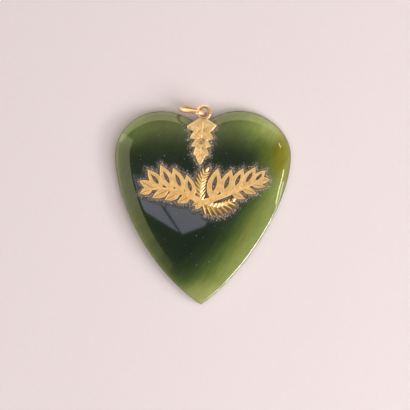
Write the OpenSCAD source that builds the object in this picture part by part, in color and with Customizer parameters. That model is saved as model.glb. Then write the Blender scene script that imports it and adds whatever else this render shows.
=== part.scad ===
// Heart pendant: a polished green stone heart with a gold leaf bail, a rivet, a jump ring
// and a pierced gold spray of leaves. It lies on its back: the back is at z = 0, the face
// looks along +Z and the cleft is towards +Y. Sizes are in millimetres.

/* [Heart stone] */
// Half the width of the heart at its widest
stone_half_w = 19.9; // [18:0.1:22]
// Height of the widest place above the middle of the heart
widest_y = 11.8; // [10:0.1:13]
// Distance of the tip below the middle of the heart
tip_drop = 22; // [20:0.5:24]
// How far the tip leans to the left
tip_lean = 0.45; // [0:0.05:1]
// Height of the bottom of the cleft above the middle of the heart
cleft_y = 18.3; // [17.5:0.1:19]
// How far the cleft lies to the left
cleft_lean = 0.6; // [0:0.1:1]
// Thickness of the stone
stone_t = 4; // [3.6:0.1:4.1]
// Slope of the rounded shoulder where it meets the upright side, in degrees
shoulder_slope = 47; // [45:0.5:49]
// Size of the flat table as a share of the outline
table_share = 0.83; // [0.8:0.01:0.88]
// Height of the small round at the edge of the back
back_round = 0.3; // [0.1:0.05:0.5]

/* [Leaf bail] */
// Length of the leaf from its neck to its tip
leaf_len = 10.2; // [9:0.1:11]
// Thickness of the leaf
leaf_t = 0.5; // [0.4:0.05:0.7]
// Turn of the leaf about its neck, clockwise seen from the front
leaf_turn = -4.4; // [-8:0.1:0]
// Radius of the middle line of the eye
eye_r = 1.32; // [1.2:0.01:1.4]
// Radius of the eye's wire
eye_wire_r = 0.36; // [0.3:0.01:0.37]
// Height of the raised midrib above the leaf
midrib_h = 0.12; // [0.05:0.01:0.2]

/* [Rivet] */
// Radius of the rivet
rivet_r = 0.6; // [0.5:0.05:0.7]
// Clearance round the rivet in the leaf and in the stone
rivet_gap = 0.05; // [0.03:0.01:0.08]
// Radius of the rivet's countersunk foot at the back
rivet_foot_r = 1.1; // [0.9:0.05:1.3]
// Distance of the rivet below the leaf's neck
rivet_s = 4.8; // [4.5:0.1:5.2]

/* [Jump ring] */
// Radius of the middle line of the ring
ring_r = 2.74; // [2.73:0.01:2.76]
// Radius of the ring's wire
ring_wire_r = 0.54; // [0.5:0.01:0.55]
// Turn of the ring's plane seen from the front
ring_turn = -8.8; // [-10:0.1:-8]
// How far the ring leans towards the heart
ring_lean = 8; // [6:0.5:8.5]

/* [Spray] */
// Thickness of the spray
spray_t = 0.6; // [0.4:0.05:0.9]
// Width of a branch's stem; it starts wider and ends narrower than this
stem_w = 0.9; // [0.7:0.05:1.2]
// Width of the slits cut through the larger leaves
slit_w = 0.62; // [0.4:0.02:0.7]

/* [Hidden] */

green = [0.2, 0.32, 0.14];
gold = [0.88, 0.7, 0.4];
copper = [0.72, 0.5, 0.36];

// Clearance between the gold and the stone under it
seat_gap = 0.02;
seat_z = stone_t + seat_gap;
// Length by which cutters run past what they cut
past = 1;
smooth = 64;

// Heart outline. Each side is two curves: from the cleft over the lobe to the widest place,
// and from there down the flank to the tip. The handles say how far each curve keeps its
// first direction.
CURVE_STEPS = 32;
cleft = [-cleft_lean, cleft_y];
tip = [-tip_lean, -tip_drop];
// side, cleft handle, cleft angle, lobe handle, flank handle, tip handle, tip angle
RIGHT_SIDE = [1, 11.8, 43, 7.8, 10.4, 13, 37];
LEFT_SIDE = [-1, 11.1, 42, 8.8, 9.8, 15.2, 34];
// The point that the outline shrinks towards as the shoulder rises to the table
shrink_to = [-0.4, 2.5];
SHOULDER_STEPS = 7;
// The shoulder is an arc. It leaves the table level and grows steeper out to the arris,
// the edge where it meets the upright side. These are its radius and the arris's height.
shoulder_r = (1 - table_share) * stone_half_w / sin(shoulder_slope);
arris_z = stone_t - shoulder_r * (1 - cos(shoulder_slope));
// Height of the flat that takes the sharpness off the arris, and how much of the arc it cuts
arris_h = 0.12;
arris_turn = 2;

// Point at share t of a cubic curve through a and d with handles at b and c
function cubic(a, b, c, d, t) =
    pow(1 - t, 3) * a + 3 * pow(1 - t, 2) * t * b + 3 * (1 - t) * t * t * c + t * t * t * d;

// Point at share t of a curve from a to c that is drawn towards b
function bow(a, b, c, t) = (1 - t) * (1 - t) * a + 2 * (1 - t) * t * b + t * t * c;

function reversed(list) = [for (i = [len(list) - 1 : -1 : 0]) list[i]];

// One side of the heart from the cleft to just before the tip
function heart_side(row) =
    let (
        side = row[0],
        widest = [side * stone_half_w, widest_y],
        cleft_end = cleft + row[1] * [side * cos(row[2]), sin(row[2])],
        lobe_end = widest + [0, row[3]],
        flank_end = widest - [0, row[4]],
        tip_end = tip + row[5] * [side * cos(row[6]), sin(row[6])]
    )
    concat(
        [for (i = [0 : CURVE_STEPS - 1]) cubic(cleft, cleft_end, lobe_end, widest, i / CURVE_STEPS)],
        [for (i = [0 : CURVE_STEPS - 1]) cubic(widest, flank_end, tip_end, tip, i / CURVE_STEPS)]
    );

// The whole outline, counter-clockwise from the tip
function heart_outline() =
    let (
        right = heart_side(RIGHT_SIDE),
        left = heart_side(LEFT_SIDE)
    )
    concat([tip], reversed(right), [for (i = [1 : len(left) - 1]) left[i]]);

// Each level of the stone is the outline shrunk to a share of its size, at a height
function stone_levels() = concat(
    [[1 - back_round / stone_half_w, 0], [1, back_round], [1, arris_z - arris_h]],
    [for (i = [0 : SHOULDER_STEPS])
        let (turn = (shoulder_slope - arris_turn) * (1 - i / SHOULDER_STEPS))
        [1 - (1 - table_share) * (1 - sin(turn) / sin(shoulder_slope)),
            stone_t - shoulder_r * (1 - cos(turn))]]
);

// A solid through closed rings of equal length, each counter-clockwise, from the bottom up
module loft(rings) {
    n = len(rings[0]);
    last = len(rings) - 1;
    points = [for (ring = rings) each ring];
    sides = [for (k = [0 : last - 1], i = [0 : n - 1])
        let (j = (i + 1) % n)
        [k * n + i, (k + 1) * n + i, (k + 1) * n + j, k * n + j]];
    bottom = [for (i = [0 : n - 1]) i];
    top = [for (i = [n - 1 : -1 : 0]) last * n + i];
    polyhedron(points, concat(sides, [bottom], [top]), convexity = 4);
}

// The rivet's place on the leaf and on the stone
leaf_neck = [0, 19.75];
function on_leaf(s, w) =
    leaf_neck + [w * cos(leaf_turn) + s * sin(leaf_turn), w * sin(leaf_turn) - s * cos(leaf_turn)];
rivet_xy = on_leaf(rivet_s, 0);
// Height of the countersink at the back of the stone
foot_h = 0.6;

module heart_stone() {
    outline = heart_outline();
    rings = [for (level = stone_levels())
        [for (p = outline)
            let (q = shrink_to + level[0] * (p - shrink_to))
            [q[0], q[1], level[1]]]];
    color(green)
    difference() {
        loft(rings);
        translate([rivet_xy[0], rivet_xy[1], -past])
            cylinder(r = rivet_r + rivet_gap, h = stone_t + 2 * past, $fn = smooth);
        translate([rivet_xy[0], rivet_xy[1], 0])
            rivet_foot(rivet_gap);
    }
}

// The cone that holds the rivet at the back, widened by a clearance
module rivet_foot(clearance) {
    cylinder(r1 = rivet_foot_r + clearance, r2 = rivet_r + clearance, h = foot_h, $fn = smooth);
}

module leaf_rivet() {
    // The rounded end stands a little above the leaf
    crown_h = 0.14;
    crown_r = (rivet_r * rivet_r + crown_h * crown_h) / (2 * crown_h);
    top_z = seat_z + leaf_t;
    color(copper)
    translate([rivet_xy[0], rivet_xy[1], 0]) {
        rivet_foot(0);
        cylinder(r = rivet_r, h = top_z, $fn = smooth);
        intersection() {
            translate([0, 0, top_z + crown_h - crown_r])
                sphere(r = crown_r, $fn = smooth);
            translate([0, 0, top_z])
                cylinder(r = rivet_r, h = past, $fn = smooth);
        }
    }
}

// Leaf bail. The points of its two edges, as distances along the leaf from the neck and out
// from the midrib. Each edge runs to the next point in a curve that bows outwards.
// right along, right out, left along, left out, bow
LEAF_EDGE = [
    [-0.35, 0.9, -0.35, 0.9, 0.1],
    [0.95, 3.1, 1.6, 3.5, 0.05],
    [1.55, 2.8, 2.25, 3.25, 0.05],
    [2.7, 1.75, 2.7, 1.9, 0.3],
    [4, 2.6, 4.4, 2.65, 0.1],
    [4.6, 1.35, 4.5, 1.4, 0.25],
    [5.8, 2.2, 6.1, 2.25, 0.08],
    [6.2, 1.25, 6.25, 1.25, 0.25],
    [7.8, 1.85, 8, 1.6, 0.05],
    [8.1, 1.1, 8.1, 1.1, 0.25],
    [leaf_len, 0, leaf_len, 0, 0],
];
EDGE_STEPS = 5;
// Middle of the eye, just above the neck
eye_xy = [0.27, 21.5];

// One edge of the leaf from the neck to just before the tip. Column 0 gives the right edge
// and column 2 the left one.
function leaf_side(column) =
    [for (k = [0 : len(LEAF_EDGE) - 2])
        let (
            from = [LEAF_EDGE[k][column], LEAF_EDGE[k][column + 1]],
            to = [LEAF_EDGE[k + 1][column], LEAF_EDGE[k + 1][column + 1]],
            middle = (from + to) / 2 + [0, LEAF_EDGE[k][4]]
        )
        for (i = [0 : EDGE_STEPS - 1]) bow(from, middle, to, i / EDGE_STEPS)];

module leaf_bail() {
    outline = concat(
        [for (p = leaf_side(0)) on_leaf(p[0], p[1])],
        [on_leaf(leaf_len, 0)],
        reversed([for (p = leaf_side(2)) on_leaf(p[0], -p[1])])
    );
    // The midrib starts below the neck and narrows towards the tip: along, half width
    midrib = [[0.5, 0.2], [leaf_len - 1, 0.08]];
    midrib_outline = concat(
        [for (p = midrib) on_leaf(p[0], p[1])],
        reversed([for (p = midrib) on_leaf(p[0], -p[1])])
    );
    color(gold)
    difference() {
        union() {
            translate([0, 0, seat_z])
                linear_extrude(height = leaf_t)
                    polygon(outline);
            translate([0, 0, seat_z])
                linear_extrude(height = leaf_t + midrib_h)
                    polygon(midrib_outline);
            translate([eye_xy[0], eye_xy[1], seat_z + eye_wire_r])
                rotate_extrude($fn = smooth)
                    translate([eye_r, 0])
                        circle(r = eye_wire_r, $fn = 32);
        }
        translate([rivet_xy[0], rivet_xy[1], seat_z - past])
            cylinder(r = rivet_r + rivet_gap, h = leaf_t + midrib_h + 2 * past, $fn = smooth);
    }
}

// Middle of the jump ring. It stands on its edge, clear of the table by a small gap, with
// its right side through the eye.
ring_xy = [-2.35, 21.93];
floor_gap = 0.02;

module jump_ring() {
    ring_z = ring_r * cos(ring_lean) + ring_wire_r + floor_gap;
    color(gold)
    translate([ring_xy[0], ring_xy[1], ring_z])
        rotate([0, 0, ring_turn])
            rotate([90 + ring_lean, 0, 0])
                rotate_extrude($fn = smooth)
                    translate([ring_r, 0])
                        circle(r = ring_wire_r, $fn = 32);
}

// Spray. Two branches leave the middle, each with larger slit leaves above its stem and
// smaller plain leaves below it, with an upright fern and a lying fern between them.
LEAF_STEPS = 7;

// Half the width of a pointed leaf of width 1, at share t of its length. It is fullest a
// little before the middle.
function leaf_half_w(t) = 2 * t * (1 - t) * (1.25 - 0.5 * t);

// Edge of a pointed leaf that lies along +X from the origin, on one side
function leaf_edge(length, width, side) =
    [for (i = [1 : LEAF_STEPS - 1])
        let (t = i / LEAF_STEPS)
        [length * t, side * width * leaf_half_w(t)]];

function leaf_shape(length, width) = concat(
    [[0, 0]],
    leaf_edge(length, width, -1),
    [[length, 0]],
    reversed(leaf_edge(length, width, 1))
);

// Half the width of a fern's leaflet of width 1. It is wide at the rib, so that neighbours
// meet there with no gap, and comes to a blunt point.
function leaflet_half_w(t) = pow(1 - t, 0.6) * (0.42 + 0.25 * t);

function leaflet_edge(length, width, side) =
    [for (i = [0 : LEAF_STEPS - 1])
        let (t = i / LEAF_STEPS)
        [length * t, side * width * leaflet_half_w(t)]];

function leaflet_shape(length, width) = concat(
    leaflet_edge(length, width, -1),
    [[length, 0]],
    reversed(leaflet_edge(length, width, 1))
);

// A strip of even taper along a list of points
function strip(path, w_start, w_end) =
    let (
        n = len(path) - 1,
        across = [for (i = [0 : n])
            let (d = path[min(i + 1, n)] - path[max(i - 1, 0)])
            [-d[1], d[0]] / norm(d)],
        half_w = [for (i = [0 : n]) (w_start + (w_end - w_start) * i / n) / 2]
    )
    concat(
        [for (i = [0 : n]) path[i] - half_w[i] * across[i]],
        reversed([for (i = [0 : n]) path[i] + half_w[i] * across[i]])
    );

// Stem curves: start, middle handle, end
LEFT_STEM = [[-0.4, 1.1], [-5.5, 4.6], [-11.4, 4.2]];
RIGHT_STEM = [[-0.4, 1.1], [5.8, 2.9], [12.4, 6]];
UPRIGHT_RIB = [[-0.35, 1.2], [-1.2, 5.4], [0.7, 8.2]];
LYING_RIB = [[-0.4, 1.1], [3.2, -1.2], [6.7, 1.6]];
STEM_STEPS = 12;

// Leaves of the branches. Place is the share of the stem, turn is the leaf's direction
// from +X in degrees.
// place, turn, length, width, slit (1 is cut through, 0 is plain)
LEFT_LEAVES = [
    [0.18, 106, 5.4, 2.6, 1],
    [0.39, 111, 6.2, 2.8, 1],
    [0.6, 116, 6.4, 2.8, 1],
    [0.8, 128, 5.6, 2.6, 1],
    [0.95, 152, 4, 2, 0],
    [1, 198, 3, 1.7, 0],
    [0.24, 206, 3.3, 1.8, 0],
    [0.45, 206, 3.9, 2, 0],
    [0.68, 206, 4.2, 2, 0],
    [0, 193, 2.2, 1.1, 0],
    [0, 226, 2.1, 1.1, 0],
];
RIGHT_LEAVES = [
    [0.17, 77, 7.4, 3.2, 1],
    [0.37, 70, 6.4, 2.9, 1],
    [0.55, 65, 6, 2.7, 1],
    [0.73, 58, 5.6, 2.5, 1],
    [0.89, 45, 4.4, 2.1, 1],
    [1, 8, 2.7, 1.5, 0],
    [0.54, -26, 3.3, 1.6, 0],
    [0.72, -19, 3.4, 1.6, 0],
    [0.88, -9, 3.2, 1.4, 0],
];

// Stem width at the start and at the end, as shares of stem_w
STEM_TAPER = [1.6, 0.6];

module branch(stem, leaves) {
    path = [for (i = [0 : STEM_STEPS]) bow(stem[0], stem[1], stem[2], i / STEM_STEPS)];
    polygon(strip(path, stem_w * STEM_TAPER[0], stem_w * STEM_TAPER[1]));
    for (leaf = leaves)
        translate(bow(stem[0], stem[1], stem[2], leaf[0]))
            rotate(leaf[1])
                polygon(leaf_shape(leaf[2], leaf[3]));
}

module branch_slits(stem, leaves) {
    // A slit starts clear of the stem and ends clear of the leaf's point
    slit_from = 0.27;
    slit_share = 0.5;
    for (leaf = leaves)
        if (leaf[4] == 1)
            translate(bow(stem[0], stem[1], stem[2], leaf[0]))
                rotate(leaf[1])
                    translate([slit_from * leaf[2], 0])
                        polygon(leaf_shape(slit_share * leaf[2], slit_w * leaf[3] / 2));
}

// A fern: leaflets in pairs along a rib, each pair turned away from the rib's direction,
// and one at its end
module fern(rib, pairs, spread, left_len, right_len, leaflet_w) {
    path = [for (i = [0 : STEM_STEPS]) bow(rib[0], rib[1], rib[2], i / STEM_STEPS)];
    // The plate is solid along the rib, under the feet of the leaflets
    rib_taper = [1.3, 0.7];
    polygon(strip(path, leaflet_w * rib_taper[0], leaflet_w * rib_taper[1]));
    for (i = [0 : pairs]) {
        t = (i + 0.6) / (pairs + 0.6);
        ahead = bow(rib[0], rib[1], rib[2], t) - bow(rib[0], rib[1], rib[2], t - 0.01);
        turn = atan2(ahead[1], ahead[0]);
        // Leaflets are longest in the lower half and shorter at both ends
        size = 0.6 + 0.4 * sin(180 * min(1, 0.3 + 0.7 * t));
        translate(bow(rib[0], rib[1], rib[2], t))
            if (i == pairs)
                rotate(turn)
                    polygon(leaflet_shape(left_len * size, leaflet_w));
            else {
                rotate(turn + spread)
                    polygon(leaflet_shape(left_len * size, leaflet_w));
                rotate(turn - spread)
                    polygon(leaflet_shape(right_len * size, leaflet_w));
            }
    }
}

module spray_plate() {
    color(gold)
    translate([0, 0, seat_z])
        linear_extrude(height = spray_t)
            difference() {
                union() {
                    branch(LEFT_STEM, LEFT_LEAVES);
                    branch(RIGHT_STEM, RIGHT_LEAVES);
                    fern(UPRIGHT_RIB, 8, 44, 2.1, 1.9, 1);
                    fern(LYING_RIB, 7, 50, 1.6, 2.6, 1.15);
                }
                branch_slits(LEFT_STEM, LEFT_LEAVES);
                branch_slits(RIGHT_STEM, RIGHT_LEAVES);
            }
}

heart_stone();
leaf_bail();
leaf_rivet();
jump_ring();
spray_plate();
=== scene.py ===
# %% [markdown]
# A green stone heart with gold leaves
#
# This lesson gives a small pendant its looks in Blender. The pendant is a polished heart of
# nephrite, a green stone, with a gold leaf riveted under its cleft, a jump ring for a chain,
# and a flat gold spray of leaves and ferns across its face.
#
# The shapes were drawn first as plain solids in a CAD model, and that model stays fixed. We
# load it as a frame, measure where everything is, and put finer pieces with better finishes
# exactly where the plain ones are.

import math
from functools import reduce

import bmesh
import bpy
import numpy as np
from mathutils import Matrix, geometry


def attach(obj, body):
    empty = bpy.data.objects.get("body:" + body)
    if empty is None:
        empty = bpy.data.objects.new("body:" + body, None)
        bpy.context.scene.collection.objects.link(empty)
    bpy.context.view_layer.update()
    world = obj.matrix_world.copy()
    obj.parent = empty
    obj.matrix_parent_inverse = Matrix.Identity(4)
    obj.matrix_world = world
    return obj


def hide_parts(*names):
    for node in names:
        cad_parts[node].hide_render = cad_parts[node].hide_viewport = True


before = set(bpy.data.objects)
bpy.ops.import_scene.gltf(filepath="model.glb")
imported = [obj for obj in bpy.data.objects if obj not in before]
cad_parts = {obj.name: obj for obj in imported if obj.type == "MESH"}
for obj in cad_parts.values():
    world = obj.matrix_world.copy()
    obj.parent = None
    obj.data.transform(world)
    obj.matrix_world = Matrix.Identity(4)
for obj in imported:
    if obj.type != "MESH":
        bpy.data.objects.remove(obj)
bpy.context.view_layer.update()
print("pieces in the frame:", sorted(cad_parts))

# %% [markdown]
# The camera
#
# The pendant lies on its back and the camera looks straight down. Blender works in metres,
# but a jeweller thinks in millimetres, so sizes here are in millimetres and MM turns them
# into metres. The lens follows from two facts: how much of the table the picture shows, and
# how high the camera is. A high camera with a long lens keeps the sides of the heart from
# leaning outwards.

# %% Camera
MM = 0.001
PICTURE_PX = 410
PX_PER_MM = 4.407
SENSOR_MM = 36
CAMERA_HEIGHT = 400
AIM = (0.43, 0.62, 1.5)

camera_data = bpy.data.cameras.new("camera_above")
camera_data.sensor_width = SENSOR_MM
camera_data.lens = SENSOR_MM * CAMERA_HEIGHT * PX_PER_MM / PICTURE_PX
camera = bpy.data.objects.new("camera_above", camera_data)
camera.location = [AIM[0] * MM, AIM[1] * MM, (AIM[2] + CAMERA_HEIGHT) * MM]
bpy.context.scene.collection.objects.link(camera)
bpy.context.scene.camera = camera
bpy.context.scene.view_settings.view_transform = "Standard"
print("lens in mm:", round(camera_data.lens, 1))

# %% [markdown]
# Writing node trees as sums
#
# A finish is a tree of nodes, and long trees are hard to read in code. This small class
# wraps one output of a node. Adding or multiplying two of them adds the Math node that does
# it, so a mask can be written as a plain expression such as 1 - mask * 0.5. Everything else
# goes through one method, add, which takes the type of node, its settings, and what its
# inputs are given. A Finish is a tree with a material, and knows each point's place.

# %% Node helper
class Wire:
    """One output of a node, which can be used in sums."""

    def __init__(self, tree, socket):
        self.tree, self.socket = tree, socket

    def math(self, operation, *others, clamp=False):
        """A Math node with this wire as its first input."""
        settings = {"operation": operation, "use_clamp": clamp}
        return self.tree.add("ShaderNodeMath", settings, dict(enumerate((self, *others))))

    def __add__(self, other):
        return self.math("ADD", other)

    def __sub__(self, other):
        return self.math("SUBTRACT", other)

    def __mul__(self, other):
        return self.math("MULTIPLY", other)

    def __truediv__(self, other):
        return self.math("DIVIDE", other)

    def __rsub__(self, other):
        return self.tree.add("ShaderNodeMath", {"operation": "SUBTRACT"}, {0: other, 1: self})

    __radd__ = __add__

    def clamp(self):
        """The value kept from 0 to 1."""
        return self.math("ADD", 0.0, clamp=True)

    def rise(self, start, end):
        """A soft step from 0 at start to 1 at end. It falls instead if start is the larger."""
        inputs = {"Value": self, "From Min": start, "From Max": end}
        return self.tree.add("ShaderNodeMapRange", {"interpolation_type": "SMOOTHSTEP"}, inputs)


class Tree:
    """Builds the nodes of one finish or of one geometry tree."""

    def __init__(self, node_tree):
        self.node_tree = node_tree

    def link(self, wire, socket):
        """Joins a wire to a socket."""
        self.node_tree.links.new(wire.socket, socket)

    def add(self, kind, settings=None, inputs=None, output=0):
        """Adds a node, then its settings, then its inputs, and returns one output."""
        node = self.node_tree.nodes.new(kind)
        for name, value in (settings or {}).items():
            setattr(node, name, value)
        for name, value in (inputs or {}).items():
            if isinstance(value, Wire):
                self.link(value, node.inputs[name])
            else:
                node.inputs[name].default_value = value
        return Wire(self, node.outputs[output])

    def parts(self, value, kind="ShaderNodeSeparateXYZ"):
        """The three numbers of a vector, or of a colour."""
        node = self.add(kind, None, {0: value}).socket.node
        return [Wire(self, output) for output in node.outputs]

    def mix(self, share, first, second, blend="MIX"):
        """A colour between two others, or the sum of both."""
        settings = {"data_type": "RGBA", "blend_type": blend}
        colours = {0: share, 6: as_colour(first), 7: as_colour(second)}
        return self.add("ShaderNodeMix", settings, colours, output=2)

    def ramp(self, value, stops):
        """A colour ramp read at a value. stops gives (place, colour) each."""
        wire = self.add("ShaderNodeValToRGB", None, {"Fac": value})
        elements = wire.socket.node.color_ramp.elements
        while len(elements) < len(stops):
            elements.new(0.5)
        for element, (place, colour) in zip(elements, stops):
            element.position = place
            element.color = as_colour(colour)
        return wire


def as_colour(value):
    """A colour with its fourth number, or a wire as it is."""
    return value if isinstance(value, Wire) else (*value, 1.0)


class Finish(Tree):
    """A material with its tree. plain sets the shader's sockets to numbers."""

    def __init__(self, name, **plain):
        self.material = bpy.data.materials.new(name)
        self.material.use_nodes = True
        super().__init__(self.material.node_tree)
        self.shader = self.node_tree.nodes["Principled BSDF"].inputs
        for socket, value in plain.items():
            self.shader[socket.replace("_", " ")].default_value = value
        self.place = self.add("ShaderNodeTexCoord", output=3)

    def kept(self, label):
        """A number kept with the mesh."""
        return self.add("ShaderNodeAttribute", {"attribute_name": label}, output=2)

    def noise(self, scale, detail=3.0, roughness=0.5, distortion=0.0, at=None):
        """A soft random value from 0 to 1 at each place."""
        inputs = {"Vector": at or self.place, "Scale": scale, "Detail": detail}
        inputs.update({"Roughness": roughness, "Distortion": distortion})
        return self.add("ShaderNodeTexNoise", None, inputs)

    def cells(self, scale, at=None):
        """Random cells: how far their middle is, and three random numbers for each."""
        inputs = {"Vector": at or self.place, "Scale": scale}
        away = self.add("ShaderNodeTexVoronoi", {"feature": "F1"}, inputs, "Distance")
        colour = Wire(self, away.socket.node.outputs["Color"])
        return away, self.parts(colour, "ShaderNodeSeparateColor")

    def moved(self, turn, sizes, centre=(0, 0, 0)):
        """The place from a centre, along axes turned in degrees, measured in sizes."""
        inputs = {"Vector": self.place, "Location": centre, "Scale": sizes}
        inputs["Rotation"] = (0, 0, math.radians(turn))
        return self.add("ShaderNodeMapping", {"vector_type": "TEXTURE"}, inputs)

    def bump(self, strength, depth, height, **more):
        """A bumpy surface of that depth in mm."""
        inputs = {"Strength": strength, "Distance": depth * MM, "Height": height, **more}
        return self.add("ShaderNodeBump", None, inputs)

    def feed(self, **wires):
        """Joins wires to the shader's sockets and returns the material."""
        for socket, wire in wires.items():
            self.link(wire, self.shader[socket.replace("_", " ")])
        return self.material


# %% [markdown]
# Light on a polished stone
#
# A polished stone shows the room as much as its own colour. The table of the heart is flat,
# so from above it mirrors what hangs over it, which is mostly dark. The rounded shoulder
# mirrors the sides of the room: a tall pale wall on the left, a lower one at the top of the
# picture, and on the right a strip of window, a lamp further off and a long low window. A
# wall that ends sharply would draw a sharp line on the stone, so each wall fades in steps.
#
# Mirrored light and the light that falls on a matt surface are tuned apart here. The walls
# and windows are seen only in the polish. A ceiling, a front panel and a lamp on the right
# light only the matt surfaces, and the lamp throws the soft shadow to the left.
#
# A panel is easiest to place by direction: its azimuth is the angle round the table from the
# right of the picture, and its angle off vertical is how far it is from overhead.

# %% Lights
WALL_AWAY, PANEL_AWAY = 500, 600
LEFT_HEIGHT, TOP_HEIGHT = 1750, 520


def area_light(name, size, radiance, colour, place, turns):
    """A flat light of a size and at a place in mm, which the camera doesn't see."""
    data = bpy.data.lights.new(name, "AREA")
    data.shape = "RECTANGLE"
    data.size, data.size_y = size[0] * MM, size[1] * MM
    data.energy = math.pi * radiance * data.size * data.size_y
    data.color = colour
    light = bpy.data.objects.new(name, data)
    light.location = [v * MM for v in place]
    light.rotation_euler = turns
    light.visible_camera = False
    bpy.context.scene.collection.objects.link(light)
    return light


def soft_panel(name, azimuth, off_vertical, size, radiance, colour):
    """A light that faces the pendant. Its size is across and along the slope."""
    turn, lean = math.radians(azimuth), math.radians(off_vertical)
    flat, height = PANEL_AWAY * math.sin(lean), PANEL_AWAY * math.cos(lean)
    place = (flat * math.cos(turn), flat * math.sin(turn), height)
    return area_light(name, size, radiance, colour, place, (lean, 0, turn + math.pi / 2))


def upright_wall(name, azimuth, along, height, radiance, colour):
    """A light that stands on the table. along gives where it starts and ends."""
    turn, middle = math.radians(azimuth), sum(along) / 2
    c, s = math.cos(turn), math.sin(turn)
    place = (WALL_AWAY * c - middle * s, WALL_AWAY * s + middle * c, height / 2)
    size = (along[1] - along[0], height)
    return area_light(name, size, radiance, colour, place, (math.pi / 2, 0, turn + math.pi / 2))


WARM = (1.0, 0.96, 0.9)
CREAM = (1.0, 0.95, 0.58)
HONEY = (1.0, 0.95, 0.4)
AMBER = (1.0, 0.92, 0.72)
STRAW = (1.0, 0.88, 0.5)
SAND = (1.0, 0.92, 0.82)
DAYLIGHT = (0.9, 0.93, 1.05)
walls = [
    upright_wall("left_wall", 180, (-330, 150), LEFT_HEIGHT, 1.5, CREAM),
    upright_wall("top_wall", 90, (-250, 1300), TOP_HEIGHT, 1.9, CREAM),
]
# both walls fade, the left one towards the front of the room and the top one to the right
for k, radiance in enumerate((1.35, 1.1, 0.75, 0.4)):
    along = (150 + 80 * k, 230 + 80 * k)
    walls.append(upright_wall(f"left_wall_fade_{k}", 180, along, LEFT_HEIGHT, radiance, HONEY))
    along = (-400 - 150 * k, -250 - 150 * k)
    walls.append(upright_wall(f"top_wall_fade_{k}", 90, along, TOP_HEIGHT, radiance, CREAM))
walls += [
    soft_panel("right_strip", -11.3, 60, (82, 66), 11.5, STRAW),
    soft_panel("far_lamp", 24, 45, (60, 38), 12, STRAW),
    soft_panel("low_window", -34.5, 67, (220, 110), 22, WARM),
]
# the window's light runs on up the flank, lower and dimmer, and fades towards the tip
for k, radiance in enumerate((22, 14, 8)):
    azimuth, off_vertical = -21.5 + 3.5 * k, 66 + 3.5 * k
    rise = f"low_window_rise_{k}"
    walls.append(soft_panel(rise, azimuth, off_vertical, (36, 60), radiance, WARM))
for k, radiance in enumerate((13, 7, 3)):
    walls.append(soft_panel(f"low_window_fade_{k}", -48 - 5 * k, 67, (48, 110), radiance, WARM))
for wall in walls:
    wall.visible_diffuse = False
# what fills the shadows comes from overhead and from the front, and the polish doesn't show it
for panel in (
    soft_panel("ceiling", 0, 0, (700, 700), 1.95, SAND),
    soft_panel("front_panel", -32, 48, (620, 420), 2.75, DAYLIGHT),
    soft_panel("right_lamp", -22.5, 60, (352, 110), 12, AMBER),
):
    panel.visible_glossy = False

# the room itself is dim overhead and paler low down, where its walls meet the table
world = bpy.data.worlds.new("dim_room")
world.use_nodes = True
tree = Tree(world.node_tree)
from_right, _, height = tree.parts(tree.add("ShaderNodeTexCoord"))
low = height.rise(0.34, 0.02) * (from_right.rise(0.7, -0.5) * 0.75 + 0.25)
glow = tree.mix(low, (0.08, 0.077, 0.073), (0.62, 0.58, 0.52))
tree.link(glow, world.node_tree.nodes["Background"].inputs["Color"])
bpy.context.scene.world = world
print("walls and lamps in the polish:", len(walls))

# %% Panes overhead
# Two panes far above show on the table as a pair of grey shapes with a dark bar between.
CAMERA_XY = np.array(AIM[:2])
PANE_HEIGHT = 800
STONE_TOP = 4.0


def mesh_piece(name, points, faces):
    """A mesh object from points in mm, at the origin."""
    mesh = bpy.data.meshes.new(name)
    mesh.from_pydata((np.asarray(points) * MM).tolist(), [], faces)
    mesh.polygons.foreach_set("use_smooth", [True] * len(mesh.polygons))
    mesh.update()
    piece = bpy.data.objects.new(name, mesh)
    bpy.context.scene.collection.objects.link(piece)
    return piece


def pane_over(name, corners, radiance, colour):
    """A pane whose mirror image on the table has these corners, in mm on the stone."""
    reach = (PANE_HEIGHT - STONE_TOP) / (CAMERA_HEIGHT + AIM[2] - STONE_TOP)
    places = [np.array(c) + (np.array(c) - CAMERA_XY) * reach for c in corners]
    pane = mesh_piece(name, [(*p, PANE_HEIGHT) for p in places], [tuple(range(len(places)))])
    material = bpy.data.materials.new(name)
    material.use_nodes = True
    nodes = material.node_tree.nodes
    nodes.remove(nodes["Principled BSDF"])
    glow = nodes.new("ShaderNodeEmission")
    glow.inputs["Color"].default_value = (*colour, 1)
    glow.inputs["Strength"].default_value = radiance
    material.node_tree.links.new(glow.outputs[0], nodes["Material Output"].inputs["Surface"])
    pane.data.materials.append(material)
    pane.visible_camera = False


PANE_TINT = (0.81, 0.77, 1.0)
LEFT_PANE = [(-18.0, 7.3), (-13.0, 7.0), (-9.9, 1.0), (-5.4, -5.6), (-14.5, 0.0)]
RIGHT_PANE = [(-9.2, 1.0), (1.0, 0.8), (0.9, -3.3), (0.3, -4.1), (-4.7, -6.0)]
pane_over("pane_left", LEFT_PANE, 2.1, PANE_TINT)
pane_over("pane_right", RIGHT_PANE, 2.0, PANE_TINT)

# %% [markdown]
# The table under the pendant
#
# The pendant lies on a smooth pale board with a faint warm pink to it. A very fine mottle
# keeps it from looking like a flat colour.

# %% Floor
FLOOR_HALF = 420
signs = [(-1, -1), (1, -1), (1, 1), (-1, 1)]
corners = [(x * FLOOR_HALF, y * FLOOR_HALF, 0) for x, y in signs]
floor = mesh_piece("floor", corners, [(0, 1, 2, 3)])
board = Finish("pale_board", Roughness=0.8, Specular_IOR_Level=0.1)
mottle = board.noise(900.0, detail=4.0)
tone = board.mix(mottle, (0.698, 0.631, 0.664), (0.728, 0.661, 0.694))
floor.data.materials.append(board.feed(Base_Color=tone))

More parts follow.
